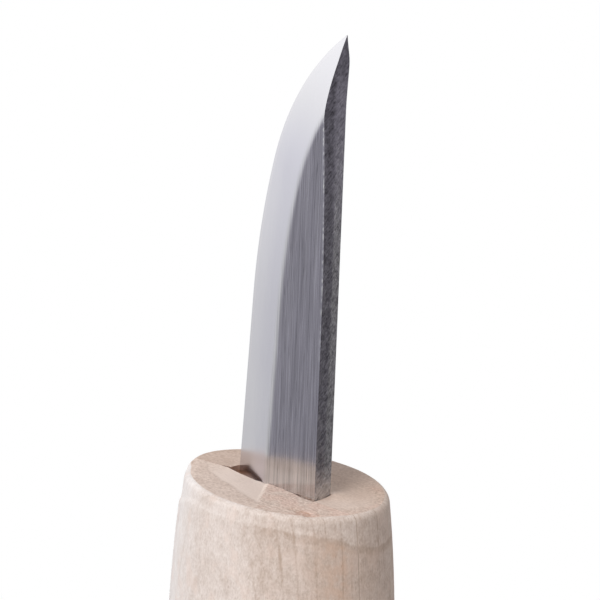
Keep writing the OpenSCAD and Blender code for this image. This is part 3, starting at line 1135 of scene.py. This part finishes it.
def set_epoxy():
    """Dark set epoxy, which hardly shows at the bottom of the hole."""
    material, graph, shader = new_material("set_epoxy")
    place = graph.millimetres()
    swirl = graph.noise(place, (0.5, 0.5, 0.3), 3.0)
    finish_shader(graph, shader, {
        "Base Color": graph.mix(graph.add(0.5, (swirl, 1.4)), (0.12, 0.055, 0.03), (0.3, 0.16, 0.1)),
        "Roughness": graph.span(swirl, -0.2, 0.2, 0.3, 0.45),
        "Normal": graph.bump(swirl, 0.1),
    })
    return material


def floor_paper():
    """Pale paper that keeps the shadow near the object and goes over into white further out."""
    material, graph, shader = new_material("floor_paper")
    place = graph.millimetres()
    tooth = graph.noise(place, (0.4, 0.4, 0.4), 3.0)
    finish_shader(graph, shader, {
        "Base Color": graph.mix(graph.add(0.5, tooth), (0.85, 0.85, 0.85), (0.87, 0.87, 0.87)),
        "Roughness": 0.85,
        "Specular IOR Level": 0.1,
    })
    radius = graph.vector_math("LENGTH", place)
    seen = graph.put("LightPath", {}).outputs["Is Camera Ray"]
    share = graph.product(graph.span(radius, *SHADOW_FADE), seen)
    white = graph.put("Emission", {"Color": WHITE, "Strength": 1.0}).outputs["Emission"]
    blend = graph.put("MixShader", {0: share, 1: shader.outputs["BSDF"], 2: white})
    graph.feed(material.node_tree.nodes["Material Output"].inputs["Surface"], blend.outputs["Shader"])
    return material


# Studio

def direction(azimuth, elevation):
    """The way from the knife to a place at an azimuth and elevation in degrees."""
    a, e = math.radians(azimuth), math.radians(elevation)
    return Vector((math.sin(a) * math.cos(e), -math.cos(a) * math.cos(e), math.sin(e)))


def add_camera():
    """The camera at the photo's viewing angle, rolled a little."""
    back = direction(VIEW_AZIMUTH, VIEW_ELEVATION)
    level = direction(VIEW_AZIMUTH + 90, 0)
    upright = back.cross(level)
    roll = math.radians(VIEW_ROLL)
    right = math.cos(roll) * level + math.sin(roll) * upright
    up = math.cos(roll) * upright - math.sin(roll) * level
    place = level * AIM_RIGHT + Vector((0, 0, AIM_HEIGHT)) + back * VIEW_DISTANCE
    data = bpy.data.cameras.new("camera")
    data.lens = LENS
    data.sensor_width = SENSOR_W
    data.clip_start = NEAREST_SEEN * MM
    camera = add_object("camera", data)
    turn = Matrix((right, up, back)).transposed().to_4x4()
    camera.matrix_world = Matrix.Translation(place * MM) @ turn
    bpy.context.scene.camera = camera


def add_lamp(name, azimuth, elevation, size, energy, colour):
    """A round soft box, its size in metres and its energy in watts. Steel mirrors the world in its place."""
    way = direction(azimuth, elevation)
    data = bpy.data.lights.new(name, "AREA")
    data.shape = "DISK"
    data.size = size
    data.energy = energy
    data.color = colour
    lamp = add_object(name, data)
    lamp.location = (Vector((0, 0, LAMP_AIM)) + way * LAMP_DISTANCE) * MM
    lamp.rotation_euler = way.to_track_quat("Z", "Y").to_euler()
    lamp.visible_glossy = False


def add_world():
    """White to the camera. Round the knife there is a white backdrop behind it and a dim room in front."""
    world = bpy.data.worlds.new("studio")
    bpy.context.scene.world = world
    world.use_nodes = True
    graph = Graph(world.node_tree)
    way = graph.put("TexCoord", {}).outputs["Generated"]
    behind = tuple(-direction(VIEW_AZIMUTH, 0))
    away = graph.vector_math("DOT_PRODUCT", way, behind)
    backdrop = graph.span(graph.axes(way)["Z"], -0.75, 0.15, 0.05, 1.33)
    white_share = graph.span(away, 0.03, 0.3)
    seen_in_steel = graph.add(DIM_ROOM, (graph.add(backdrop, -DIM_ROOM), white_share))
    path = graph.put("LightPath", {}).outputs
    level = graph.between(path["Is Glossy Ray"], SOFT_LIGHT, seen_in_steel)
    level = graph.between(path["Is Camera Ray"], level, 1.0)
    tint_in_steel = graph.mix(white_share, DIM_TINT, WHITE)
    colour = graph.mix(path["Is Glossy Ray"], WHITE, tint_in_steel)
    colour = graph.mix(path["Is Diffuse Ray"], colour, SOFT_TINT)
    background = world.node_tree.nodes["Background"]
    graph.feed(background.inputs["Color"], colour)
    graph.feed(background.inputs["Strength"], level)


def add_floor():
    """A round pale floor, which the steel does not mirror."""
    mesh = bpy.data.meshes.new("floor")
    bm = bmesh.new()
    bmesh.ops.create_circle(bm, cap_ends=True, segments=96, radius=FLOOR_R * MM)
    bm.to_mesh(mesh)
    bm.free()
    floor = add_object("floor", mesh)
    floor.location.z = -FLOOR_DROP * MM
    floor.visible_glossy = False
    mesh.materials.append(floor_paper())


wood = [wood_side(), wood_end(), wood_stained()]
dress(build_blade([steel_side(), steel_spine()]), "blade")
dress(build_front_half(wood), "handle_front_half")
dress(build_back_half(wood), "handle_back_half")
dress(build_seam(glue_and_gap_shade()), "seam_glue")
epoxy_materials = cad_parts["tang_epoxy"].data.materials
epoxy_materials.clear()
epoxy_materials.append(set_epoxy())

add_camera()
add_world()
add_floor()
add_lamp("key", azimuth=9, elevation=45, size=0.6, energy=5.6, colour=WHITE)
add_lamp("left_fill", azimuth=-40, elevation=45, size=0.5, energy=2.4, colour=(0.68, 0.835, 1.0))
bpy.context.scene.view_settings.view_transform = "Standard"
